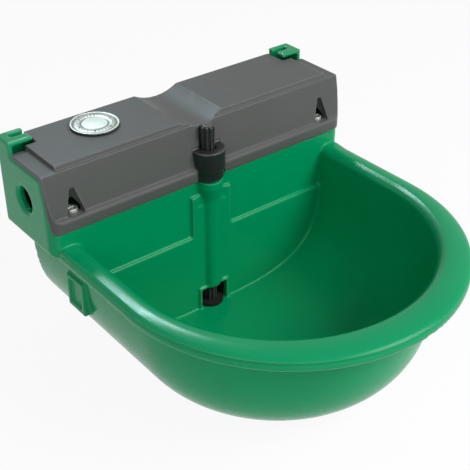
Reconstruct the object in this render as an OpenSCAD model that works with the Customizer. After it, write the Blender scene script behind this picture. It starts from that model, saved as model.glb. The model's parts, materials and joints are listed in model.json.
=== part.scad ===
// Wall-mounted livestock drinking bowl with a float valve in a covered chamber.
// Frame: X along the wall, +Y out of the mounting face, +Z up, millimetres.
// The origin lies on the mounting face, at the level of the side walls' lower edge.

/* [Chamber] */
// Width across the two side walls
body_w = 310; // [290:1:360]
// Distance from the mounting face to the front wall's face
chamber_d = 80; // [76:1:110]
// Height of the side walls' upper edge
side_h = 67; // [60:1:80]
// Distance from the mounting face to the top of the side walls' slope
slope_d = 68; // [60:1:70]
// Height of the front wall's upper edge
front_h = 21; // [16:1:26]
// Wall thickness of the moulding
wall = 4; // [3:0.5:5]
// Radius of the front corners in plan
corner_r = 10; // [6:1:14]
// Height of the corner posts
post_h = 80; // [78:1:95]
// Depth of the corner posts
post_d = 21; // [16:1:24]
// Width of the corner posts' caps
post_w = 22; // [18:1:26]
// Thickness of the corner posts' caps
cap_t = 4; // [3:0.5:6]
// Width of the slot in a post's cap
slot_w = 6; // [5:0.5:8]
// Length of the slot in a post's cap
slot_l = 14; // [8:1:16]

/* [Bowl] */
// Outer radius of the bowl's wall
bowl_r = 134; // [120:1:138]
// Distance from the mounting face to the centre of the bowl's round front
bowl_c = 168; // [150:1:185]
// Depth of the bowl's underside below the rim's band
bowl_depth = 112; // [100:1:135]
// Fullness of the bowl's section, where 2 is an ellipse
bowl_full = 3.4; // [2:0.1:4]
// Outer radius of the rim
rim_r = 150; // [146:1:154]
// Distance from the mounting face to the centre of the rim's round front
rim_c = 178; // [160:1:190]
// Height of the rim's top
rim_h = 8; // [5:1:10]
// Height of the rim's outer band
band_h = 11.5; // [9:0.5:14]
// Height of the ledge across the front wall, below the origin
ledge_z = 32; // [20:1:50]
// Step of the ledge
ledge_t = 3; // [2:0.5:4]
// Half the width of the front wall's middle strip
strip_half = 21; // [18:1:26]
// Height of the middle strip's top
strip_h = 9; // [4:1:12]
// Width of the water passage in the front wall
window_w = 28; // [22:1:34]
// Height of the water passage
window_h = 20; // [14:1:28]

/* [Inlet] */
// Radius of the inlet holes in the side walls
inlet_r = 10.75; // [10.75:0.05:11.5]
// Thickness of the pad inside the side wall round an inlet hole
inlet_pad = 3; // [2:0.5:5]
// Width of the chamfer round an inlet hole
inlet_chamfer = 2.25; // [1:0.25:3]
// Distance from the mounting face to the inlet's axis
inlet_d = 38; // [34:1:42]
// Height of the inlet's axis
inlet_z = 36.5; // [32:0.5:40]
// Radius of the valve's threaded shank
shank_r = 10.48; // [10.3:0.01:10.5]
// Length of the shank beyond the side wall
shank_out = 13; // [10:1:20]
// Radius of the valve's barrel
barrel_r = 11; // [10:0.5:12]

/* [Wall holes] */
// Distance between the two mounting holes
bolt_pitch = 190; // [120:1:200]
// Radius of a mounting hole
bolt_r = 3.5; // [3:0.25:4.5]
// Height of the mounting holes
bolt_z = 52; // [40:1:56]

/* [Drain] */
// Distance from the mounting face to the drain rod's axis
drain_d = 78; // [76:1:82]
// Radius over the drain rod's ribs
rod_r = 6; // [5:0.5:6.5]
// Height of the drain rod's top
rod_top = 71; // [64:1:84]
// Radius of the drain hole
drain_r = 9; // [8:0.5:10]
// Outer radius of the rod's guide tube
tube_r = 10; // [9.5:0.5:11]
// Radius of the guide tube's mouth
mouth_r = 15.5; // [15:0.5:18]

/* [Cover] */
// Height of the cover's flat top
cover_top = 75.6; // [72:0.2:79]
// Half the width of the cover's flat top
cover_half = 141; // [136:1:143]
// Distance from the mounting face to the top's front edge
cover_d = 68.6; // [62:0.2:72]
// Thickness of the cover
cover_t = 3; // [2:0.5:4]
// Height of the cover's flange at the front
flange_h = 11; // [8:1:13]
// Half the width of the valley across the cover
valley_half = 22.4; // [18:0.2:28]
// Depth of the valley
valley_depth = 6; // [4:0.5:8]
// Radius of the guide boss on the cover
boss_r = 15; // [12:0.5:16]
// Height of the guide boss's top
boss_top = 50; // [44:1:56]
// Distance of each cover screw from the middle
screw_x = 131; // [120:1:134]
// Distance from the mounting face to the cover screws
screw_d = 71; // [68:1:73]
// Radius of a cover screw's head
head_r = 5.1; // [4.5:0.1:5.5]
// Radius of a cover screw's thread
thread_r = 2; // [1.5:0.25:2.5]
// Radius of the round badge
badge_r = 21; // [16:0.5:24]

/* [Float] */
// Radius of the float
float_r = 26; // [20:1:27]
// Height of the float
float_h = 46; // [36:1:50]
// Distance from the lever's pin to the float's middle
arm_len = 112; // [90:1:125]
// Slope of the float arm when the trough is empty
rest_slope = 27; // [20:1:32]
// Angle through which the float arm rises to shut the valve
swing = 15; // [8:1:18]
// Height of the level screw above the lever's pin
lever_r = 12.5; // [11:0.5:14]
// Radius of the lever's pin
pin_r = 2; // [1.5:0.25:2.5]

/* [Hidden] */
$fn = 72;
eps = 0.01;
rim_t = 4;                                // thickness of the rim's top
roll_r = 4;                               // radius of the rim's outer edge
lip_r = 8;                                // radius of the rim's inner edge
band_t = 3;                               // thickness of the rim's band
lap = 1;                                  // how far cutting shapes run past a face
gap = 0.3;                                // clearance between pieces that come apart
run = 0.06;                               // radial clearance of a running fit
half_w = body_w / 2;
band_z = rim_h - band_h;                  // lower edge of the rim's band
bowl_ri = bowl_r - wall;
floor_z = band_z - bowl_depth + wall;     // inside floor of the bowl
floor_flat = 7;                           // radius of the floor's flat middle
front_in = chamber_d - wall;              // inner face of the front wall
foot_d = chamber_d - wall;                // foot of the side walls' slope
foot_z = front_h + 3;                     // height of the slope's foot
cover_gap = 1.3;                          // height of the gap under the front flange
flange_z = front_h + cover_gap;
flange_front = chamber_d + 3;
flange_side_t = 4;
face_z = flange_z + flange_h + 2;         // foot of the cover's front face
valley_r = (valley_half * valley_half + valley_depth * valley_depth) / (2 * valley_depth);
notch_gap = 2;
pad_z = flange_z + flange_h;              // top of the cover's screw pads
pad_r = head_r + 2.9;
relief_fwd = 3;                           // how far the relief over a screw lies before it
relief_h = 22;
insert_r = 3.3;
insert_len = 12;
screw_len = 22;
head_h = 3.2;
collar_r = drain_r + 6;
collar_h = 4;
window_z = floor_z + window_h;
frame_t = 2.5;
window_run = 16;                          // how far the passage is cut through
badge_x = -79;
badge_y = -28;

// stations of the valve along X, measured from the right side wall
wall_x = half_w - wall - inlet_pad;       // face of the pad that the valve seals on
gasket_t = 2;
gasket_x = wall_x - gasket_t;
flange_x = gasket_x - 6;                  // left face of the valve's own flange
barrel_x = flange_x - 39;                 // left end of the barrel
nozzle_len = 8;
seat_x = barrel_x + 24;                   // right end of the nozzle
nozzle_x = seat_x - nozzle_len;
nozzle_tip = 2;
guide_r = 7;
travel = lever_r * swing * PI / 180;
seal_t = 2.5;
seal_x = nozzle_x - nozzle_tip - travel - 0.05;  // right face of the seal, valve open
piston_x = barrel_x - 8;                  // left end of the piston
pin_x = piston_x - gap - travel / 2;
pin_z = inlet_z - lever_r;
ear_gap = 8;                              // half the space between the ears
ear_t = 3;
arm_r = 3;
socket_l = 26;                            // reach of the lever's socket from its pin
arm_start = 10;                           // distance from the pin to the arm's end
float_edge = 6;                           // radius round the float's edges
float_t = 2;                              // thickness of the float's skin
nut_af = 10;
hex = 6;
screw_back = pin_x - 16;                  // left face of the lever's upper plate
plate_t = 6;                              // thickness of that plate
screw_r = 2.5;                            // radius of the level screw
tip_r = 1.2;                              // radius and length of its tip
tip_l = 2;
wet_r = 6.5;                              // radius of the water way in the shank
sealing_r = 15;                           // outer radius of the valve's flange and gasket
jet_r = 2;                                // radius of the nozzle's jet
cup_r = 5;                                // radius of the piston's cup for the seal
body_r = shank_r + 0.08;                  // radius of the shank up to the lock nut
washer_t = 1.5;
lock_t = 6;
nut_end = half_w + washer_t + lock_t;
plug_lip = 3;                             // thickness of the drain plug's lip
plug_h = 12;
rod_foot = floor_z + gap + plug_lip;
rib_count = 8;
rib_w = 2.2;

// ---- shared shapes ----

// Half-width of the bowl at the parameter angle t, for a wall of radius a and depth d
function bowl_edge(a, d, n = 22) =
    [for (i = [0:n - 1]) let (t = 90 * i / n)
        [a * pow(cos(t), 2 / bowl_full), -d * pow(sin(t), 2 / bowl_full)]];

// Half section of the bowl, from its top edge down to the middle of the floor
module bowl_half(a, d, top) {
    translate([0, band_z])
        polygon(concat([[0, top - band_z], [a, top - band_z]], bowl_edge(a, d),
                       [[floor_flat, -d], [0, -d]]));
}

// Section children() turned round a front centred at centre, with straight sides to rear_y
module d_sweep(centre, rear_y) {
    translate([0, -centre, 0]) rotate([0, 0, 180]) rotate_extrude(angle = 180) children();
    translate([0, rear_y, 0]) rotate([90, 0, 0]) linear_extrude(centre + rear_y) {
        children();
        mirror([1, 0]) children();
    }
}

// Solid of the bowl's form with wall radius a and depth d
module bowl_solid(a, d, top, rear_y) {
    d_sweep(bowl_c, rear_y) bowl_half(a, d, top);
}

// Plan with straight sides and a round front
module d_plan(r, centre, rear_y) {
    translate([0, -centre]) circle(r);
    translate([-r, -centre]) square([2 * r, centre + rear_y]);
}

// Outline in Y and Z, extruded to both sides of the middle
module across(half) {
    translate([-half, 0, 0]) rotate([90, 0, 90]) linear_extrude(2 * half) children();
}

// Cylinder along +X
module bar_x(r, from, to, y, z) {
    translate([from, y, z]) rotate([0, 90, 0]) cylinder(r = r, h = to - from);
}

// Cylinder along -Y
module bar_y(r, from, to, x, z) {
    translate([x, from, z]) rotate([90, 0, 0]) cylinder(r = r, h = from - to);
}

module both_sides() {
    children();
    mirror([1, 0, 0]) children();
}

// Plan with two round front corners
module round_plan(half, depth, r) {
    union() {
        translate([-half, -depth + r]) square([2 * half, depth - r]);
        translate([-half + r, -depth]) square([2 * (half - r), depth]);
        translate([half - r, -depth + r]) circle(r);
        translate([-half + r, -depth + r]) circle(r);
    }
}

// ---- trough ----

module chamber_block() {
    intersection() {
        across(half_w) polygon([[0, 0], [0, side_h], [-slope_d, side_h], [-foot_d, foot_z],
                                [-foot_d, front_h], [-chamber_d, front_h], [-chamber_d, 0]]);
        linear_extrude(post_h) round_plan(half_w, chamber_d, corner_r);
    }
}

// Outer roll of the rim, with the band that hangs from it
module rim_band_section() {
    translate([rim_r - roll_r, rim_h - roll_r]) circle(roll_r);
    translate([rim_r - 2 * rim_t, rim_h - rim_t]) square([2 * rim_t - roll_r, rim_t]);
    translate([rim_r - band_t, band_z]) square([band_t, band_h - roll_r]);
}

module rim() {
    d_sweep(rim_c, -front_in) rim_band_section();
    translate([0, 0, rim_h - rim_t]) linear_extrude(rim_t)
        d_plan(rim_r - roll_r - 1, rim_c, -front_in);
}

// Half section of the bowl's inside, which flares round the rim's inner edge
module inside_section() {
    bowl_half(bowl_ri, bowl_depth - wall, side_h);
    difference() {
        translate([bowl_ri - lap, rim_h - lip_r]) square([lip_r + lap, side_h - rim_h + lip_r]);
        translate([bowl_ri + lip_r, rim_h - lip_r]) circle(lip_r);
    }
}

module corner_post() {
    translate([half_w - wall, -post_d, 0]) cube([wall, post_d, post_h]);
    translate([half_w - post_w, -wall, 0]) cube([post_w, wall, post_h]);
    translate([half_w - post_w, -post_d, post_h - cap_t]) cube([post_w, post_d, cap_t]);
}

module cap_slot() {
    translate([half_w - post_w - lap, -wall - 1 - slot_w, post_h - cap_t - lap])
        cube([slot_l + lap, slot_w, cap_t + 2 * lap]);
}

// Ledge, middle strip, guide tube and the frame round the water passage
module front_wall_relief() {
    depth_y = chamber_d + ledge_t;
    intersection() {
        union() {
            translate([-bowl_r, -depth_y, floor_z - lap])
                cube([2 * bowl_r, ledge_t + 1, -ledge_z - floor_z + lap]);
            translate([-strip_half, -depth_y, floor_z - lap])
                cube([2 * strip_half, ledge_t + 1, strip_h - floor_z + lap]);
            translate([-window_w / 2 - frame_t, -depth_y - frame_t, floor_z - lap])
                cube([window_w + 2 * frame_t, frame_t + 1, window_h + frame_t + lap]);
        }
        bowl_solid(bowl_r - wall / 2, bowl_depth - wall / 2, rim_h, 0);
    }
}

module guide_tube() {
    translate([0, -drain_d, window_z]) cylinder(r = tube_r, h = front_h - window_z);
    translate([0, -drain_d, front_h - 8]) cylinder(r = mouth_r, h = 8);
    translate([0, -drain_d, front_h - 20]) cylinder(r1 = tube_r, r2 = mouth_r, h = 12);
}

module inlet_hole() {
    bar_x(inlet_r, wall_x - lap, half_w + lap, -inlet_d, inlet_z);
    translate([half_w - inlet_chamfer, -inlet_d, inlet_z]) rotate([0, 90, 0])
        cylinder(r1 = inlet_r, r2 = inlet_r + inlet_chamfer + eps, h = inlet_chamfer + eps);
}

module inlet_boss() {
    bar_x(inlet_r + 7, wall_x, half_w - wall, -inlet_d, inlet_z);
}

module screw_post() {
    translate([screw_x, -screw_d, 0]) cylinder(r = insert_r + 3, h = flange_z - 0.05);
}

module trough_body() color([0.0, 0.55, 0.34]) {
    difference() {
        union() {
            difference() {
                union() {
                    chamber_block();
                    bowl_solid(bowl_r, bowl_depth, rim_h - rim_t / 2, 0);
                    rim();
                    both_sides() corner_post();
                }
                translate([-half_w + wall, -front_in, wall])
                    cube([2 * (half_w - wall), front_in - wall, side_h]);
                d_sweep(bowl_c, -wall) inside_section();
            }
            intersection() {
                translate([-half_w, -chamber_d, floor_z - lap])
                    cube([2 * half_w, wall, front_h - floor_z + lap]);
                union() {
                    bowl_solid(bowl_r - wall / 2, bowl_depth - wall / 2, rim_h, 0);
                    chamber_block();
                }
            }
            front_wall_relief();
            guide_tube();
            both_sides() screw_post();
            both_sides() inlet_boss();
            translate([0, -drain_d, floor_z - wall - collar_h])
                cylinder(r = collar_r, h = collar_h + wall);
        }
        translate([0, -drain_d, window_z - lap])
            cylinder(r = rod_r + 1.2, h = front_h - window_z + 2 * lap);
        translate([-window_w / 2, -chamber_d - window_run / 2, floor_z])
            cube([window_w, window_run + tube_r, window_h]);
        translate([0, -drain_d, floor_z - wall - collar_h - lap])
            cylinder(r = drain_r, h = collar_h + wall + 2 * lap);
        both_sides() inlet_hole();
        both_sides() cap_slot();
        both_sides() translate([screw_x, -screw_d, flange_z - insert_len - 4])
            cylinder(r = insert_r, h = insert_len + 4 + lap);
        both_sides() bar_y(bolt_r, lap, -wall - lap, bolt_pitch / 2, bolt_z);
    }
}

module screw_inserts() color([0.72, 0.55, 0.25]) {
    both_sides() translate([screw_x, -screw_d, flange_z - insert_len]) difference() {
        cylinder(r = insert_r - 0.02, h = insert_len - 0.05);
        translate([0, 0, -lap]) cylinder(r = thread_r + run, h = insert_len + 2 * lap);
    }
}

// ---- float valve ----

module valve_body() color([0.75, 0.58, 0.28]) {
    difference() {
        union() {
            bar_x(shank_r, flange_x, half_w + shank_out, -inlet_d, inlet_z);
            bar_x(body_r, flange_x, nut_end + 0.5, -inlet_d, inlet_z);
            bar_x(sealing_r, flange_x, gasket_x, -inlet_d, inlet_z);
            bar_x(barrel_r, barrel_x, flange_x, -inlet_d, inlet_z);
            for (s = [-1, 1])
                translate([pin_x - 6, -inlet_d + s * (ear_gap + ear_t / 2) - ear_t / 2,
                           pin_z - 6])
                    cube([barrel_x - pin_x + 12, ear_t, lever_r + 12]);
        }
        bar_x(guide_r, barrel_x - lap, seat_x, -inlet_d, inlet_z);
        bar_x(wet_r, seat_x - lap, half_w + shank_out + lap, -inlet_d, inlet_z);
        translate([barrel_x + 4, -inlet_d - 5, inlet_z - barrel_r - lap])
            cube([10, 10, barrel_r]);
        bar_y(pin_r + 0.02, -inlet_d + ear_gap + ear_t + lap,
              -inlet_d - ear_gap - ear_t - lap, pin_x, pin_z);
    }
}

module ring_x(r_out, r_in, from, to) {
    difference() {
        bar_x(r_out, from, to, -inlet_d, inlet_z);
        bar_x(r_in, from - lap, to + lap, -inlet_d, inlet_z);
    }
}

module inlet_gasket() color([0.1, 0.1, 0.1])
    ring_x(sealing_r, shank_r + 0.3, gasket_x, wall_x);

module lock_washer() color([0.75, 0.76, 0.78])
    ring_x(sealing_r + 1, shank_r + 0.3, half_w, half_w + washer_t);

module lock_nut() color([0.75, 0.58, 0.28]) {
    difference() {
        translate([half_w + washer_t, -inlet_d, inlet_z]) rotate([0, 90, 0])
            cylinder(r = 15.6, h = lock_t, $fn = hex);
        bar_x(body_r + 0.02, half_w, nut_end + lap, -inlet_d, inlet_z);
    }
}

module nozzle() color([0.9, 0.9, 0.88]) {
    difference() {
        union() {
            bar_x(guide_r - 0.02, nozzle_x, seat_x, -inlet_d, inlet_z);
            bar_x(3.5, nozzle_x - nozzle_tip, nozzle_x, -inlet_d, inlet_z);
        }
        bar_x(jet_r, nozzle_x - nozzle_tip - lap, seat_x + lap, -inlet_d, inlet_z);
    }
}

module inlet_strainer() color([0.8, 0.8, 0.8]) {
    difference() {
        bar_x(wet_r - 0.02, seat_x, seat_x + 14, -inlet_d, inlet_z);
        bar_x(5.2, seat_x + 1.5, seat_x + 14 + lap, -inlet_d, inlet_z);
        bar_x(jet_r, seat_x - lap, seat_x + 3, -inlet_d, inlet_z);
    }
}

module piston() color([0.92, 0.92, 0.9]) {
    difference() {
        bar_x(guide_r - run, piston_x, seal_x - 0.5, -inlet_d, inlet_z);
        bar_x(cup_r, seal_x - seal_t, seal_x, -inlet_d, inlet_z);
    }
}

module piston_seal() color([0.1, 0.1, 0.1])
    bar_x(cup_r - 0.02, seal_x - seal_t, seal_x, -inlet_d, inlet_z);

module pivot_pin() color([0.78, 0.78, 0.8]) {
    end_y = ear_gap + ear_t;
    bar_y(pin_r, -inlet_d + end_y, -inlet_d - end_y - 4, pin_x, pin_z);
    bar_y(pin_r + 1.5, -inlet_d + end_y + 1.5, -inlet_d + end_y, pin_x, pin_z);
}

module pin_clip() color([0.7, 0.7, 0.72]) {
    clip_y = -inlet_d - ear_gap - ear_t;
    difference() {
        bar_y(pin_r + 2, clip_y - 0.3, clip_y - 1.3, pin_x, pin_z);
        bar_y(pin_r + 0.02, clip_y, clip_y - 2, pin_x, pin_z);
        translate([pin_x - 1.2, clip_y - 2, pin_z - pin_r - 3]) cube([2.4, 2, pin_r + 3]);
    }
}

// ---- float and lever ----

// Places children in the arm's own frame: the pin at the origin, the arm along -X
module on_arm() {
    translate([pin_x, -inlet_d, pin_z]) rotate([0, -rest_slope, 0]) children();
}

module float_lever() color([0.75, 0.58, 0.28]) {
    hub_half = ear_gap - 1.5;
    foot_half = hub_half - 0.5;
    socket_half = hub_half - 1;
    difference() {
        union() {
            bar_y(5, -inlet_d + hub_half, -inlet_d - hub_half, pin_x, pin_z);
            translate([screw_back, -inlet_d - hub_half, pin_z - 2])
                cube([plate_t, 2 * hub_half, lever_r + 7]);
            translate([screw_back + plate_t / 2, -inlet_d - foot_half, pin_z - 3.5])
                cube([pin_x - screw_back - plate_t / 2, 2 * foot_half, 6]);
            on_arm() translate([-socket_l, -socket_half, -5])
                cube([socket_l - 1, 2 * socket_half, 10]);
        }
        bar_y(pin_r + 0.05, -inlet_d + hub_half + lap, -inlet_d - hub_half - lap,
              pin_x, pin_z);
        bar_x(screw_r + 0.02, screw_back - lap, screw_back + plate_t + lap, -inlet_d, inlet_z);
        on_arm() translate([-socket_l - lap, 0, 0]) rotate([0, 90, 0])
            cylinder(r = arm_r + 0.02, h = socket_l - arm_start + lap);
    }
}

module level_screw() color([0.78, 0.78, 0.8]) {
    bar_x(screw_r, screw_back - 8, piston_x - gap - tip_l, -inlet_d, inlet_z);
    bar_x(tip_r, screw_back, piston_x - gap, -inlet_d, inlet_z);
    bar_x(4.5, screw_back - 11, screw_back - 8, -inlet_d, inlet_z);
}

module level_nut() color([0.78, 0.78, 0.8]) {
    difference() {
        translate([screw_back - 4, -inlet_d, inlet_z]) rotate([0, 90, 0])
            cylinder(r = 4.6, h = 4, $fn = hex);
        bar_x(screw_r + 0.02, screw_back - 5, screw_back + lap, -inlet_d, inlet_z);
    }
}

module float_arm() color([0.75, 0.58, 0.28])
    on_arm() translate([-arm_len - float_r - 8, 0, 0]) rotate([0, 90, 0])
        cylinder(r = arm_r, h = arm_len + float_r + 8 - arm_start);

// Section of the float, drawn in by a distance of inset
module float_section(inset) {
    edge = float_edge - inset;
    r = float_r - inset;
    h = float_h - 2 * inset;
    translate([0, -h / 2]) square([r - edge, h]);
    translate([0, -h / 2 + edge]) square([r, h - 2 * edge]);
    for (s = [-1, 1]) translate([r - edge, s * (h / 2 - edge)]) circle(edge);
}

module float_shell() color([0.93, 0.45, 0.1]) {
    on_arm() translate([-arm_len, 0, 0]) difference() {
        rotate_extrude() intersection() {
            float_section(0);
            translate([0, -float_h]) square([float_r, 2 * float_h]);
        }
        difference() {
            rotate_extrude() intersection() {
                float_section(float_t);
                translate([0, -float_h]) square([float_r, 2 * float_h]);
            }
            translate([-float_r, 0, 0]) rotate([0, 90, 0])
                cylinder(r = arm_r + float_t, h = 2 * float_r);
        }
        translate([-float_r - lap, 0, 0]) rotate([0, 90, 0])
            cylinder(r = arm_r + 0.2, h = 2 * float_r + 2 * lap);
    }
}

module float_nuts() color([0.75, 0.58, 0.28]) {
    nut_t = 5;
    on_arm() for (x = [-arm_len - float_r - nut_t, -arm_len + float_r])
        translate([x, 0, 0]) rotate([0, 90, 0]) difference() {
            cylinder(r = nut_af / 2 / cos(30), h = nut_t, $fn = hex);
            translate([0, 0, -lap]) cylinder(r = arm_r + 0.02, h = nut_t + 2 * lap);
        }
}

// ---- drain ----

module drain_rod() color([0.12, 0.13, 0.13]) {
    translate([0, -drain_d, rod_foot]) {
        cylinder(r = rod_r - 1.4, h = rod_top - rod_foot);
        for (i = [0:rib_count / 2 - 1]) rotate([0, 0, i * 360 / rib_count]) intersection() {
            translate([-rod_r - lap, -rib_w / 2, 0])
                cube([2 * rod_r + 2 * lap, rib_w, rod_top - rod_foot - 1]);
            cylinder(r = rod_r, h = rod_top - rod_foot);
        }
    }
}

module drain_plug() color([0.08, 0.08, 0.08]) {
    translate([0, -drain_d, floor_z + gap]) difference() {
        union() {
            cylinder(r = drain_r + 3, h = plug_lip);
            translate([0, 0, -plug_h + plug_lip])
                cylinder(r = drain_r - gap, h = plug_h - plug_lip + eps);
        }
        translate([0, 0, -plug_h]) cylinder(r = 2.02, h = plug_h + plug_lip + lap);
    }
}

module plug_screw() color([0.78, 0.78, 0.8]) {
    bottom = floor_z + gap - plug_h + plug_lip;
    translate([0, -drain_d, bottom]) cylinder(r = 2, h = rod_foot - bottom);
    translate([0, -drain_d, bottom - 2.5]) cylinder(r = 4, h = 2.5);
}

// ---- cover ----

module valley_cut(grow) {
    translate([0, lap, cover_top + valley_r - valley_depth]) rotate([90, 0, 0])
        cylinder(r = valley_r + grow, h = chamber_d + 4 * lap);
}

module cover_box() {
    rear_y = -1;
    inner_z = 60;
    intersection() {
        across(half_w) polygon([[rear_y, side_h + gap], [rear_y, cover_top], [-cover_d, cover_top],
                                [-foot_d, face_z], [-foot_d, flange_z], [-foot_d + cover_t, flange_z],
                                [-foot_d + cover_t * 4, inner_z], [-wall - 2, inner_z],
                                [-wall - 2, side_h + gap]]);
        rotate([90, 0, 0]) linear_extrude(chamber_d + lap)
            polygon([[-cover_half, cover_top], [cover_half, cover_top],
                     [cover_half + 3, flange_z], [-cover_half - 3, flange_z]]);
    }
}

module cover_flange() {
    top_z = side_h + gap + flange_side_t;
    intersection() {
        across(half_w) polygon([[-1, side_h + gap], [-slope_d - gap, side_h + gap],
                                [-foot_d - gap, foot_z - 1], [-foot_d - gap, flange_z],
                                [-flange_front, flange_z], [-flange_front, pad_z - 2],
                                [-flange_front + 1.5, pad_z], [-foot_d - 3, pad_z + 1.5],
                                [-slope_d - 3.4, top_z], [-1, top_z]]);
        linear_extrude(post_h) round_plan(half_w, flange_front, corner_r + 2);
    }
}

module cover_cavity() {
    difference() {
        across(cover_half - cover_t)
            polygon([[-wall - gap, flange_z - lap], [-wall - gap, cover_top - cover_t],
                     [-cover_d + cover_t - 0.6, cover_top - cover_t],
                     [-foot_d + cover_t, face_z], [-foot_d + cover_t, flange_z - lap]]);
        valley_cut(cover_t);
        both_sides() translate([screw_x, -screw_d, flange_z - 2 * lap])
            cylinder(r = pad_r + 2.2, h = flange_h + 2 * lap);
        both_sides() translate([screw_x, -screw_d, pad_z - eps])
            cylinder(r1 = pad_r + 2.2, r2 = 3, h = 30);
        translate([0, -drain_d, flange_z - 2 * lap])
            cylinder(r = boss_r - 1, h = boss_top - flange_z);
    }
}

module corner_notch() {
    notch_x = half_w - post_w - notch_gap;
    translate([notch_x, -post_d - notch_gap, flange_z])
        cube([post_w + notch_gap + lap, post_d + notch_gap + lap, post_h]);
}

module cover() color([0.36, 0.37, 0.36]) {
    difference() {
        union() {
            difference() {
                union() {
                    cover_box();
                    cover_flange();
                }
                valley_cut(0);
                cover_cavity();
            }
            translate([0, -drain_d, pad_z - 2]) cylinder(r = boss_r, h = boss_top - pad_z + 2);
            translate([0, -drain_d, flange_z]) cylinder(r = boss_r - 1.5, h = flange_h);
        }
        translate([0, -drain_d, flange_z - lap]) cylinder(r = rod_r + 1.2, h = post_h);
        both_sides() corner_notch();
        both_sides() translate([screw_x, -screw_d - relief_fwd, pad_z])
            cylinder(r1 = pad_r + 1.5, r2 = 2, h = relief_h);
        both_sides() translate([screw_x, -screw_d, flange_z - lap])
            cylinder(r = thread_r + 0.5, h = flange_h + 2 * lap);
    }
}

module cover_screws() color([0.75, 0.76, 0.78]) {
    both_sides() translate([screw_x, -screw_d, pad_z]) {
        difference() {
            cylinder(r = head_r, h = head_h);
            for (a = [0, 90]) rotate([0, 0, a])
                translate([-head_r * 0.6, -0.5, head_h - 1.6]) cube([head_r * 1.2, 1, 2]);
        }
        translate([0, 0, -screw_len]) cylinder(r = thread_r, h = screw_len + eps);
    }
}

module badge() color([0.75, 0.76, 0.78]) {
    translate([badge_x, badge_y, cover_top]) difference() {
        cylinder(r = badge_r, h = 2.4);
        translate([0, 0, 1.6]) difference() {
            cylinder(r = badge_r - 2, h = 1);
            translate([0, 0, -lap]) cylinder(r = badge_r - 8, h = 3);
        }
        translate([0, 0, 1.2]) cylinder(r = badge_r - 11, h = 2);
    }
}

trough_body();
screw_inserts();
valve_body();
inlet_gasket();
lock_washer();
lock_nut();
nozzle();
inlet_strainer();
pivot_pin();
pin_clip();
piston();
piston_seal();
float_lever();
level_screw();
level_nut();
float_arm();
float_shell();
float_nuts();
drain_rod();
drain_plug();
plug_screw();
cover();
cover_screws();
badge();
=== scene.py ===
"""Looks of a wall-mounted livestock drinking bowl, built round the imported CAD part."""

import json
import math

import bmesh
import bpy
import numpy as np
from mathutils import Matrix, Vector

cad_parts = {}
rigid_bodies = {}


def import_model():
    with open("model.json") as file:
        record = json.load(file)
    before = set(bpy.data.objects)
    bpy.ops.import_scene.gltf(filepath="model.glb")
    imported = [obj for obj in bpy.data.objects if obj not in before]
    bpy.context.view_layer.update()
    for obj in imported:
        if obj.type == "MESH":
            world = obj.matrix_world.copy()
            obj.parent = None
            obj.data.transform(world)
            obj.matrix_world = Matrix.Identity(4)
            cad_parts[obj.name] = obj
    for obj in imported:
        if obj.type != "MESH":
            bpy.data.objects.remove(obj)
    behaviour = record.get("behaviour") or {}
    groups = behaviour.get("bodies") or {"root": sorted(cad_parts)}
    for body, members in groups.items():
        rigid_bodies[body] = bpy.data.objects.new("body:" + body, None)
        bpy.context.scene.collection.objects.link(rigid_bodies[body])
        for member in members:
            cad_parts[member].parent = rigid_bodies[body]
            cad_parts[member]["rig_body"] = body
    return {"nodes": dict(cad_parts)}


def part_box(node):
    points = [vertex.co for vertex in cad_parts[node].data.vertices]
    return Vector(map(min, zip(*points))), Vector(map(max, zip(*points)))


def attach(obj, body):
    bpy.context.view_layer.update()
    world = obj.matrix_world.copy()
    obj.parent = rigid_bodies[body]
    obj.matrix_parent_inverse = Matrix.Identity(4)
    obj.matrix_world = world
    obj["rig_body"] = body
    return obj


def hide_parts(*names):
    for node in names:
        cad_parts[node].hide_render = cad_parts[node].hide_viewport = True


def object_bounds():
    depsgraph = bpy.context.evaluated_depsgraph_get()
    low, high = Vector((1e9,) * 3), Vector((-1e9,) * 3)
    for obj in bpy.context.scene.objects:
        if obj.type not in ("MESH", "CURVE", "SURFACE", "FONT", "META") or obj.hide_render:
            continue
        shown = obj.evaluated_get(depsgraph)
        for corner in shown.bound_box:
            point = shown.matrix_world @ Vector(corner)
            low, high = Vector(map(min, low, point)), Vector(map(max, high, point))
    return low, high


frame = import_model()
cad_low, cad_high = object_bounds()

MM = 0.001

# Form of the bowl and its rim, in millimetres, as the CAD part has it
BOWL_R = 134.0
BOWL_CENTRE = -168.0
BOWL_DEPTH = 112.0
BOWL_FULL = 3.4
WALL = 4.0
RIM_R = 150.0
RIM_CENTRE = -178.0
RIM_TOP = 8.0
BAND_LOW = -3.5
ROLL_R = 4.0
LIP_R = 8.0
RIM_CROWN = 2.4
ROD_Y = -78.0
TUBE_R = 10.0
WALL_FACE = -80.0
BOSS_R = 15.0

# Camera, in metres and degrees
CAMERA_AT = (-0.44745, -0.67633, 0.44807)
CAMERA_TILT = 56.852
CAMERA_TURN = -38.5595
CAMERA_LENS = 75.95


def linear(code):
    """Scene-linear colour of a six-digit sRGB code."""
    parts = [int(code[i:i + 2], 16) / 255 for i in (0, 2, 4)]
    return [p / 12.92 if p <= 0.04045 else ((p + 0.055) / 1.055) ** 2.4 for p in parts] + [1.0]


# ---- materials ----

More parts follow.
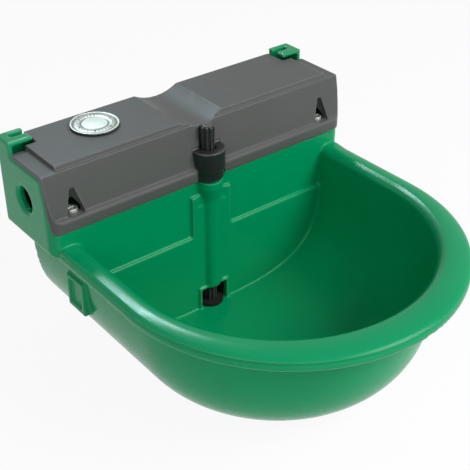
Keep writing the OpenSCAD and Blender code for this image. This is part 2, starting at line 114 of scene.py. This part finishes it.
class Graph:
    """A material's node tree, with short calls for the nodes that the finishes share."""

    def __init__(self, name):
        self.material = bpy.data.materials.new(name)
        self.material.use_nodes = True
        self.tree = self.material.node_tree
        self.shader = self.tree.nodes["Principled BSDF"]
        self.place = self.tree.nodes.new("ShaderNodeTexCoord").outputs["Object"]

    def link(self, source, target):
        self.tree.links.new(source, target)

    def stretched(self, scale):
        mapping = self.tree.nodes.new("ShaderNodeMapping")
        mapping.inputs["Scale"].default_value = scale
        self.link(self.place, mapping.inputs["Vector"])
        return mapping.outputs["Vector"]

    def noise(self, scale, detail=3.0, rough=0.5, vector=None):
        node = self.tree.nodes.new("ShaderNodeTexNoise")
        node.inputs["Scale"].default_value = scale
        node.inputs["Detail"].default_value = detail
        node.inputs["Roughness"].default_value = rough
        self.link(vector or self.place, node.inputs["Vector"])
        return node.outputs["Fac"]

    def remap(self, value, low, high, to_low, to_high):
        node = self.tree.nodes.new("ShaderNodeMapRange")
        for socket, number in (("From Min", low), ("From Max", high),
                               ("To Min", to_low), ("To Max", to_high)):
            node.inputs[socket].default_value = number
        self.link(value, node.inputs["Value"])
        return node.outputs["Result"]

    def add(self, a, b):
        node = self.tree.nodes.new("ShaderNodeMath")
        node.operation = "ADD"
        self.link(a, node.inputs[0])
        self.link(b, node.inputs[1])
        return node.outputs[0]

    def blend(self, factor, a, b):
        node = self.tree.nodes.new("ShaderNodeMix")
        node.data_type = "RGBA"
        self.link(factor, node.inputs["Factor"])
        for socket, colour in ((node.inputs["A"], a), (node.inputs["B"], b)):
            if isinstance(colour, list):
                socket.default_value = colour
            else:
                self.link(colour, socket)
        return node.outputs["Result"]

    def edges(self, low, high):
        """0 on flat and hollow places, 1 on sharp outer edges, where the painted highlights go."""
        node = self.tree.nodes.new("ShaderNodeNewGeometry")
        return self.remap(node.outputs["Pointiness"], low, high, 0.0, 1.0)

    def bump(self, height, distance, strength):
        node = self.tree.nodes.new("ShaderNodeBump")
        node.inputs["Distance"].default_value = distance
        node.inputs["Strength"].default_value = strength
        self.link(height, node.inputs["Height"])
        self.link(node.outputs["Normal"], self.shader.inputs["Normal"])


def shade(colour, factor):
    return [min(1.0, c * factor) for c in colour[:3]] + [1.0]


def plastic(name, code, rough, spread=0.05, mottle=0.05, grain=1400.0, grain_depth=0.00002,
            edge_highlight=0.0, specular=0.5):
    """Moulded plastic: cloudy colour, uneven gloss, fine grain, hair scratches, painted highlights on
    the outer edges.
    """
    g = Graph(name)
    colour = linear(code)
    cloudy = g.blend(g.remap(g.noise(16.0, 5.0), 0.3, 0.7, 0.0, 1.0),
                     shade(colour, 1 - mottle), shade(colour, 1 + mottle))
    # Painted highlight: outer edges are blended towards a paler tint of the colour, standing in for the
    # light that rounded edges catch.
    if edge_highlight:
        pale = [c + (1 - c) * 0.35 for c in colour[:3]] + [1.0]
        cloudy = g.blend(g.remap(g.edges(0.51, 0.60), 0.0, 1.0, 0.0, edge_highlight), cloudy, pale)
    g.link(cloudy, g.shader.inputs["Base Color"])
    hair = g.noise(1.0, 2.0, 0.6, g.stretched((60.0, 1400.0, 1400.0)))
    scratched = g.remap(hair, 0.68, 0.80, 0.0, spread)
    uneven = g.remap(g.noise(55.0, 6.0, 0.6), 0.3, 0.7, rough - spread, rough + spread)
    g.link(g.add(uneven, scratched), g.shader.inputs["Roughness"])
    g.shader.inputs["Specular IOR Level"].default_value = specular
    g.bump(g.noise(grain, 2.0), grain_depth, 0.35)
    return g.material


def metal(name, code, rough, brush=(60.0, 60.0, 2400.0), tarnish=0.12):
    """Bare metal with tool marks along one way and a cloudy tarnish."""
    g = Graph(name)
    colour = linear(code)
    g.link(g.blend(g.remap(g.noise(70.0, 5.0, 0.65), 0.35, 0.75, 0.0, 1.0),
                   shade(colour, 1.0), shade(colour, 1 - 2 * tarnish)),
           g.shader.inputs["Base Color"])
    marks = g.noise(1.0, 3.0, 0.6, g.stretched(brush))
    g.link(g.add(g.remap(marks, 0.3, 0.7, rough - 0.08, rough + 0.08),
                 g.remap(g.noise(120.0, 4.0), 0.4, 0.8, 0.0, tarnish)),
           g.shader.inputs["Roughness"])
    g.shader.inputs["Metallic"].default_value = 1.0
    g.bump(marks, 0.00003, 0.3)
    return g.material


green = plastic("green_plastic", "009861", 0.22, spread=0.04, mottle=0.04, edge_highlight=0.25,
                specular=0.16)
# Paler green as a painted highlight, for the seam beads
seam_highlight_green = plastic("green_seam_highlight", "2FB07C", 0.25, specular=0.3)
grey = plastic("grey_plastic", "595B59", 0.42, spread=0.05, mottle=0.05, grain=2400.0,
               grain_depth=0.00004, edge_highlight=0.5, specular=0.14)
black = plastic("black_plastic", "262A29", 0.34, spread=0.06, mottle=0.08, edge_highlight=0.35,
                specular=0.35)
white = plastic("white_plastic", "E4E3DC", 0.35)
orange = plastic("orange_plastic", "DB6A1E", 0.30, edge_highlight=0.2)
rubber = plastic("rubber", "1D1E1E", 0.62, grain=3000.0, grain_depth=0.00006, specular=0.3)
brass = metal("brass", "C9A14E", 0.30)
steel = metal("steel", "C9CBCC", 0.26)
plated = metal("plated_steel", "F2F2EE", 0.46, tarnish=0.04)
silver = metal("badge_silver", "9A9A93", 0.45, brush=(40.0, 1500.0, 40.0), tarnish=0.08)
ink = plastic("badge_ink", "3A3E3F", 0.42)

FINISH = {
    "screw_inserts": brass, "inlet_gasket": rubber, "lock_washer": steel, "lock_nut": brass,
    "nozzle": white, "inlet_strainer": steel, "pivot_pin": steel, "pin_clip": steel,
    "piston": white, "piston_seal": rubber, "float_lever": brass, "level_screw": steel,
    "level_nut": steel, "float_arm": brass, "float_shell": orange, "float_nuts": brass,
    "drain_plug": rubber, "plug_screw": steel,
}
for node, finish in FINISH.items():
    for held in frame["nodes"][node].material_slots:
        held.material = finish
    for face in frame["nodes"][node].data.polygons:
        face.use_smooth = False


# ---- mesh tools ----

def add_piece(name, mesh, finish, body, nodes=()):
    """Puts a mesh in the scene as a visible piece on a CAD body."""
    piece = bpy.data.objects.new(name, mesh)
    bpy.context.scene.collection.objects.link(piece)
    mesh.materials.clear()
    mesh.materials.append(finish)
    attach(piece, body)
    if nodes:
        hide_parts(*nodes)
    return piece


def apply_modifiers(piece):
    piece.update_tag()
    graph = bpy.context.evaluated_depsgraph_get()
    mesh = bpy.data.meshes.new_from_object(piece.evaluated_get(graph))
    piece.modifiers.clear()
    piece.data = mesh


def join_solids(mesh, solids):
    """Adds closed solids, given as (vertices, faces) in millimetres, to a mesh."""
    bm = bmesh.new()
    bm.from_mesh(mesh)
    for points, faces in solids:
        made = [bm.verts.new(Vector(p) * MM) for p in points]
        for face in faces:
            bm.faces.new([made[i] for i in face])
    bmesh.ops.remove_doubles(bm, verts=bm.verts, dist=2e-6)
    bm.to_mesh(mesh)
    bm.free()


def block(low, high):
    """A box as (vertices, faces)."""
    (x0, y0, z0), (x1, y1, z1) = low, high
    points = [(x, y, z) for z in (z0, z1) for y in (y0, y1) for x in (x0, x1)]
    return points, [(0, 2, 3, 1), (4, 5, 7, 6), (0, 1, 5, 4), (2, 6, 7, 3), (0, 4, 6, 2), (1, 3, 7, 5)]


def moulded(name, node, finish, voxel, rounds, extras=(), cuts=(), keep=1.0, shape=None):
    """The node's own shape with extras joined on, cuts taken out and every edge softened.

    voxel is in millimetres, rounds is how often the surface is relaxed, and shape moves the
    points of the finished surface."""
    mesh = frame["nodes"][node].data.copy()
    join_solids(mesh, extras)
    piece = add_piece(name, mesh, finish, frame["nodes"][node]["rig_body"], [node])
    helpers = []
    for number, cut in enumerate(cuts):
        cut_mesh = bpy.data.meshes.new(f"{name}_cut{number}")
        join_solids(cut_mesh, [cut])
        helper = bpy.data.objects.new(f"{name}_cut{number}", cut_mesh)
        bpy.context.scene.collection.objects.link(helper)
        helpers.append(helper)
        taking = piece.modifiers.new("cut", "BOOLEAN")
        taking.operation = "DIFFERENCE"
        taking.solver = "EXACT"
        taking.object = helper
    remesh = piece.modifiers.new("skin", "REMESH")
    remesh.mode = "VOXEL"
    remesh.voxel_size = voxel * MM
    smooth = piece.modifiers.new("soften", "SMOOTH")
    smooth.factor = 0.5
    smooth.iterations = rounds
    apply_modifiers(piece)
    for helper in helpers:
        bpy.data.objects.remove(helper)
    if shape:
        mesh = piece.data
        points = np.empty(len(mesh.vertices) * 3, np.float32)
        mesh.vertices.foreach_get("co", points)
        normals = np.empty(len(mesh.vertices) * 3, np.float32)
        mesh.vertices.foreach_get("normal", normals)
        moved = shape(points.reshape(-1, 3).astype(float) / MM, normals.reshape(-1, 3).astype(float))
        mesh.vertices.foreach_set("co", (moved * MM).astype(np.float32).ravel())
        mesh.update()
    if keep < 1.0:
        thin = piece.modifiers.new("thin", "DECIMATE")
        thin.ratio = keep
        apply_modifiers(piece)
    mesh = piece.data
    mesh.materials.clear()
    mesh.materials.append(finish)
    mesh.polygons.foreach_set("use_smooth", [True] * len(mesh.polygons))
    mesh.polygons.foreach_set("material_index", [0] * len(mesh.polygons))
    return piece


def paint(piece, finish, test):
    """Gives a second finish to the faces whose middles, in millimetres, pass the test."""
    mesh = piece.data
    mesh.materials.append(finish)
    middles = np.empty(len(mesh.polygons) * 3, np.float32)
    mesh.polygons.foreach_get("center", middles)
    index = np.empty(len(mesh.polygons), np.int32)
    mesh.polygons.foreach_get("material_index", index)
    index[test(middles.reshape(-1, 3).astype(float) / MM)] = len(mesh.materials) - 1
    mesh.polygons.foreach_set("material_index", index)
    mesh.update()


def tube(name, path, radius, finish, body, sides=10):
    """A thin round bead along a path of points that lies in a plane of constant y."""
    points, faces = [], []
    for i, (x, y, z) in enumerate(path):
        before, after = path[max(i - 1, 0)], path[min(i + 1, len(path) - 1)]
        run = Vector((after[0] - before[0], 0, after[2] - before[2])).normalized()
        side = Vector((run.z, 0, -run.x))
        for k in range(sides):
            t = 2 * math.pi * k / sides
            points.append(tuple(Vector((x, y, z)) + side * (radius * math.cos(t))
                                + Vector((0, 1, 0)) * (radius * math.sin(t))))
    for i in range(len(path) - 1):
        for k in range(sides):
            j = (k + 1) % sides
            faces.append((i * sides + k, i * sides + j, (i + 1) * sides + j, (i + 1) * sides + k))
    last = (len(path) - 1) * sides
    faces += [tuple(reversed(range(sides))), tuple(range(last, last + sides))]
    mesh = bpy.data.meshes.new(name)
    join_solids(mesh, [(points, faces)])
    piece = add_piece(name, mesh, finish, body)
    mesh.polygons.foreach_set("use_smooth", [True] * len(mesh.polygons))
    return piece


def snap(points, normals, form, where, reach=0.7):
    """Moves points that lie near a form's zero surface, and face along it, exactly onto it."""
    picked = np.nonzero(where(points))[0]
    near = points[picked]
    for _ in range(2):
        step = 0.01
        slope = np.stack([(form(near + d) - form(near - d)) / (2 * step)
                          for d in np.eye(3) * step], axis=1)
        size = np.maximum(np.linalg.norm(slope, axis=1), 1e-6)
        away = form(near) / size
        way = slope / size[:, None]
        facing = np.abs((way * normals[picked]).sum(1)) > 0.93
        use = facing & (np.abs(away) < reach)
        near[use] -= away[use, None] * way[use]
    points[picked] = near
    return points


def across(points, centre):
    """Distance from the middle of the section that is swept round the bowl's front."""
    x, y = points[:, 0], points[:, 1]
    return np.where(y < centre, np.hypot(x, y - centre), np.abs(x))


def bowl_form(radius, depth):
    def form(points):
        r = across(points, BOWL_CENTRE) / radius
        low = np.maximum((BAND_LOW - points[:, 2]) / depth, 1e-4)
        return (r ** BOWL_FULL + low ** BOWL_FULL) ** (1 / BOWL_FULL) - 1
    return form


def shape_trough(points, normals):
    """Brings the bowl and the rim onto their true curves and presses the groove into the rim."""
    inner = BOWL_R - WALL
    for radius, depth in ((inner, BOWL_DEPTH - WALL), (BOWL_R, BOWL_DEPTH)):
        snap(points, normals, bowl_form(radius, depth),
             lambda p: (p[:, 2] < BAND_LOW - 0.5))
        snap(points, normals, lambda p, r=radius: across(p, BOWL_CENTRE) - r,
             lambda p: (p[:, 2] >= BAND_LOW - 0.5) & (p[:, 2] < RIM_TOP - LIP_R) & (p[:, 1] < -82))
    snap(points, normals,
         lambda p: np.hypot(across(p, BOWL_CENTRE) - inner - LIP_R, p[:, 2] - RIM_TOP + LIP_R) - LIP_R,
         lambda p: (p[:, 1] < -84) & (p[:, 2] > RIM_TOP - LIP_R)
         & (across(p, BOWL_CENTRE) < inner + LIP_R))
    snap(points, normals,
         lambda p: np.hypot(across(p, RIM_CENTRE) - RIM_R + ROLL_R, p[:, 2] - RIM_TOP + ROLL_R) - ROLL_R,
         lambda p: (p[:, 1] < -84) & (p[:, 2] > RIM_TOP - ROLL_R)
         & (across(p, RIM_CENTRE) > RIM_R - ROLL_R))
    band = across(points, RIM_CENTRE) - RIM_R
    snap(points, normals, lambda p: across(p, RIM_CENTRE) - RIM_R,
         lambda p: (p[:, 1] < -84) & (p[:, 2] <= RIM_TOP - ROLL_R) & (p[:, 2] > BAND_LOW + 1))
    groove_z, groove_half, groove_depth = 3.0, 1.3, 0.9
    depth = groove_depth * np.clip(1 - ((points[:, 2] - groove_z) / groove_half) ** 2, 0, None)
    depth *= (np.abs(band) < 1.0) & (points[:, 1] < -84)
    points[:, :2] -= normals[:, :2] * depth[:, None]
    inside = across(points, BOWL_CENTRE) - inner
    outside = RIM_R - across(points, RIM_CENTRE)
    share = np.clip(inside / np.maximum(inside + outside, 1), 0, 1)
    fade = np.clip((-84 - points[:, 1]) / 12, 0, 1) * np.clip(points[:, 2] / 5, 0, 1)
    points[:, 2] -= RIM_CROWN * (2 * share - 1) ** 2 * fade * np.clip(normals[:, 2], 0, 1)
    dx, dy = points[:, 0], points[:, 1] - ROD_Y
    r = np.hypot(dx, dy)
    mouth = (r > TUBE_R) & (r < 17) & (points[:, 1] < -80.2) & (points[:, 2] > -2) & (points[:, 2] < 22)
    ratio = np.where(mouth, (TUBE_R + (r - TUBE_R) * 0.45) / np.maximum(r, 1), 1.0)
    points[:, 0] = dx * ratio
    points[:, 1] = ROD_Y + dy * ratio
    return points


THREAD_PITCH = 1.814
THREAD_DEPTH = 0.8
INLET_Y = -38.0
INLET_Z = 36.5


def shape_thread(points, normals):
    """Cuts a right-hand thread into the free end of the valve's shank."""
    x = points[:, 0]
    dy, dz = points[:, 1] - INLET_Y, points[:, 2] - INLET_Z
    r = np.hypot(dy, dz)
    turn = np.arctan2(dz, dy) / (2 * math.pi)
    wave = np.abs(((x / THREAD_PITCH - turn) % 1.0) * 2 - 1)
    on_shank = (r > 9.6) & (r < 11) & (x > 163.2)
    points[:, 1] -= np.where(on_shank, dy / np.maximum(r, 1) * wave * THREAD_DEPTH, 0)
    points[:, 2] -= np.where(on_shank, dz / np.maximum(r, 1) * wave * THREAD_DEPTH, 0)
    return points


# ---- pieces ----

def lug(side):
    """Moulded hook under the rim on one side, and the pocket in it."""
    xs = sorted((side * 130.0, side * 137.0))
    hollow = sorted((side * 134.2, side * 139.0))
    return (block((xs[0], -86, -62), (xs[1], -60, -30)),
            block((hollow[0], -82, -57), (hollow[1], -64, -34)))


lugs = [lug(side) for side in (-1, 1)]
trough = moulded("trough", "trough_body", green, voxel=1.1, rounds=4, keep=0.6,
                 extras=[body for body, hollow in lugs], cuts=[hollow for body, hollow in lugs],
                 shape=shape_trough)
# Painted shade: the passage's inner faces get the black rubber finish, darkening the opening where the
# closed chamber lies in shade.
paint(trough, rubber, lambda p: (np.abs(p[:, 0]) < 14.6) & (p[:, 1] > WALL_FACE - 0.4)
      & (p[:, 1] < -45) & (p[:, 2] < -89) & (p[:, 2] > -112.2))
lid = moulded("lid", "cover", grey, voxel=0.8, rounds=5, keep=0.45)
paint(lid, black, lambda p: (np.hypot(p[:, 0], p[:, 1] - ROD_Y) < BOSS_R + 0.6) & (p[:, 2] < 52)
      & ((p[:, 1] < -75) | (np.hypot(p[:, 0], p[:, 1] - ROD_Y) < 9)))
rod = moulded("rod", "drain_rod", black, voxel=0.4, rounds=2, keep=0.6)
screws = moulded("lid_screws", "cover_screws", plated, voxel=0.25, rounds=3)
valve = moulded("valve", "valve_body", brass, voxel=0.42, rounds=3, keep=0.6,
                shape=shape_thread)


def seam_path(side, steps=60):
    """Where the bowl's inside meets the front wall, from below the ledge to the passage."""
    inner, depth = BOWL_R - WALL, BOWL_DEPTH - WALL
    path = []
    for i in range(steps + 1):
        t = math.radians(12 + (88.4 - 12) * i / steps)
        path.append((side * inner * math.cos(t) ** (2 / BOWL_FULL), WALL_FACE - 0.1,
                     BAND_LOW - depth * math.sin(t) ** (2 / BOWL_FULL)))
    return [p for p in path if p[2] < -34 and abs(p[0]) > 17]


# The seam beads get the paler green as a painted highlight along the seam line.
for side, word in ((-1, "left"), (1, "right")):
    tube(f"seam_{word}", seam_path(side), 0.6, seam_highlight_green, "trough")


def lathe(name, outline, centre, steps, finish, body, nodes=()):
    """A closed solid of revolution about a vertical axis; the outline starts and ends on the axis."""
    points, faces = [], []
    inner = outline[1:-1]
    for i in range(steps):
        a = 2 * math.pi * i / steps
        points += [(centre[0] + r * math.cos(a), centre[1] + r * math.sin(a), z) for r, z in inner]
    n = len(inner)
    for i in range(steps):
        j = (i + 1) % steps
        faces += [(i * n + k, j * n + k, j * n + k + 1, i * n + k + 1) for k in range(n - 1)]
    first, last = len(points), len(points) + 1
    points += [(centre[0], centre[1], outline[0][1]), (centre[0], centre[1], outline[-1][1])]
    for i in range(steps):
        j = (i + 1) % steps
        faces += [(first, j * n, i * n), (last, i * n + n - 1, j * n + n - 1)]
    mesh = bpy.data.meshes.new(name)
    join_solids(mesh, [(points, faces)])
    bm = bmesh.new()
    bm.from_mesh(mesh)
    bmesh.ops.recalc_face_normals(bm, faces=bm.faces)
    bm.to_mesh(mesh)
    bm.free()
    piece = add_piece(name, mesh, finish, body, nodes)
    mesh.polygons.foreach_set("use_smooth", [True] * len(mesh.polygons))
    return piece


def arc(centre_r, centre_z, radius, start, end, steps=6):
    """Points of an arc in a section, angles in degrees from +r towards +z."""
    turns = [math.radians(start + (end - start) * i / steps) for i in range(steps + 1)]
    return [(centre_r + radius * math.cos(t), centre_z + radius * math.sin(t)) for t in turns]


def make_badge():
    """A plain coin: raised rim, inked channel, ring of studs and a domed middle."""
    low, high = (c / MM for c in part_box("badge"))
    centre = ((low.x + high.x) / 2, (low.y + high.y) / 2)
    r, top, foot = (high.x - low.x) / 2, high.z, low.z
    edge, channel_out, channel_in, dip = 0.9, r - 2.6, r - 3.4, 0.35
    face = top - 0.4
    outline = [(0, foot), (r - 0.3, foot)] + arc(r - edge, top - edge, edge, 0, 90)
    outline += [(channel_out + 0.25, top), (channel_out, face - dip), (channel_in, face - dip),
                (channel_in - 0.25, face), (r * 0.56 + 0.3, face), (r * 0.56, face - dip),
                (r * 0.56 - 0.7, face - dip), (r * 0.56 - 0.95, face)]
    outline += [(r * 0.5 * (1 - i / 6), face + 0.35 * (1 - (1 - i / 6) ** 2)) for i in range(7)]
    coin = lathe("badge_coin", outline, centre, 128, silver, "lid", ["badge"])
    paint(coin, ink, lambda p: (p[:, 2] > foot + 0.2) & (
        (np.abs(np.hypot(p[:, 0] - centre[0], p[:, 1] - centre[1]) - channel_in - 0.4) < 0.42)
        | (np.abs(np.hypot(p[:, 0] - centre[0], p[:, 1] - centre[1]) - r * 0.56 + 0.35) < 0.4)
        | (np.hypot(p[:, 0] - centre[0], p[:, 1] - centre[1]) > r - 0.45)))
    studs = 30
    ring = r * 0.70
    for k in range(studs):
        a = 2 * math.pi * k / studs
        at = (centre[0] + ring * math.cos(a), centre[1] + ring * math.sin(a))
        size = 0.75 if k % 5 else 1.15
        dome = [(0, face - 0.1)] + arc(0, face - 0.1, size, 0, 90, 4)
        lathe(f"badge_stud_{k:02d}", [(0, face - 0.1), (size, face - 0.1)]
              + [(p, face - 0.1 + (q - face + 0.1) * 0.4) for p, q in dome[2:]],
              at, 16, ink, "lid")


make_badge()


# ---- stage, lamps and camera ----

def white_for_camera(material_nodes, links, lit, white_share):
    """Gives the factor for mixing a lit shader with even white, on rays that show the background."""
    path = material_nodes.new("ShaderNodeLightPath")
    seen = path.outputs["Is Camera Ray"]
    for name in ("Is Glossy Ray", "Is Transmission Ray"):
        more = material_nodes.new("ShaderNodeMath")
        more.operation = "MAXIMUM"
        links.new(seen, more.inputs[0])
        links.new(path.outputs[name], more.inputs[1])
        seen = more.outputs[0]
    share = material_nodes.new("ShaderNodeMath")
    share.operation = "MULTIPLY"
    share.inputs[1].default_value = white_share
    links.new(seen, share.inputs[0])
    return share.outputs[0]


def make_stage():
    floor_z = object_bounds()[0].z - 0.0008
    mesh = bpy.data.meshes.new("floor")
    half = 6.0
    mesh.from_pydata([(-half, -half, floor_z), (half, -half, floor_z), (half, half, floor_z),
                      (-half, half, floor_z)], [], [(0, 1, 2, 3)])
    floor = bpy.data.objects.new("floor", mesh)
    bpy.context.scene.collection.objects.link(floor)
    material = bpy.data.materials.new("floor")
    material.use_nodes = True
    tree = material.node_tree
    lit = tree.nodes["Principled BSDF"]
    lit.inputs["Base Color"].default_value = (0.93, 0.93, 0.93, 1)
    lit.inputs["Roughness"].default_value = 1.0
    lit.inputs["Specular IOR Level"].default_value = 0.0
    plain = tree.nodes.new("ShaderNodeEmission")
    mix = tree.nodes.new("ShaderNodeMixShader")
    tree.links.new(white_for_camera(tree.nodes, tree.links, lit, 0.92), mix.inputs[0])
    tree.links.new(lit.outputs[0], mix.inputs[1])
    tree.links.new(plain.outputs[0], mix.inputs[2])
    tree.links.new(mix.outputs[0], tree.nodes["Material Output"].inputs["Surface"])
    mesh.materials.append(material)

    world = bpy.data.worlds.new("studio")
    bpy.context.scene.world = world
    world.use_nodes = True
    tree = world.node_tree
    lit = tree.nodes["Background"]
    lit.inputs["Color"].default_value = (0.93, 0.96, 1.0, 1)
    lit.inputs["Strength"].default_value = 0.28
    plain = tree.nodes.new("ShaderNodeBackground")
    plain.inputs["Color"].default_value = (1, 1, 1, 1)
    mix = tree.nodes.new("ShaderNodeMixShader")
    tree.links.new(white_for_camera(tree.nodes, tree.links, lit, 1.0), mix.inputs[0])
    tree.links.new(lit.outputs[0], mix.inputs[1])
    tree.links.new(plain.outputs[0], mix.inputs[2])
    tree.links.new(mix.outputs[0], tree.nodes["World Output"].inputs["Surface"])


def softbox(name, way, distance, size, power, tint=(1, 1, 1), gloss_only=False):
    """A rectangular lamp that looks at the middle of the part from the direction way."""
    aim = (cad_low + cad_high) / 2
    data = bpy.data.lights.new(name, "AREA")
    data.shape = "RECTANGLE"
    data.size, data.size_y = size
    data.energy = power
    data.color = tint
    lamp = bpy.data.objects.new(name, data)
    lamp.location = aim + Vector(way).normalized() * distance
    lamp.rotation_euler = (aim - lamp.location).to_track_quat("-Z", "Y").to_euler()
    lamp.visible_diffuse = not gloss_only
    bpy.context.scene.collection.objects.link(lamp)


def make_camera():
    data = bpy.data.cameras.new("camera")
    data.sensor_width = 36.0
    data.lens = CAMERA_LENS
    data.clip_start = 0.01
    camera = bpy.data.objects.new("camera", data)
    camera.location = CAMERA_AT
    camera.rotation_euler = (math.radians(CAMERA_TILT), 0, math.radians(CAMERA_TURN))
    bpy.context.scene.collection.objects.link(camera)
    bpy.context.scene.camera = camera


make_stage()
softbox("key", (0.45, -0.75, 0.8), 1.5, (0.9, 0.7), 18)
softbox("fill", (-0.9, -0.5, 0.6), 1.6, (0.8, 0.8), 4)
softbox("streak", (0.05, 0.655, 0.755), 1.3, (0.7, 0.14), 15, (0.68, 0.9, 1.0), gloss_only=True)
make_camera()
bpy.context.scene.view_settings.view_transform = "Standard"
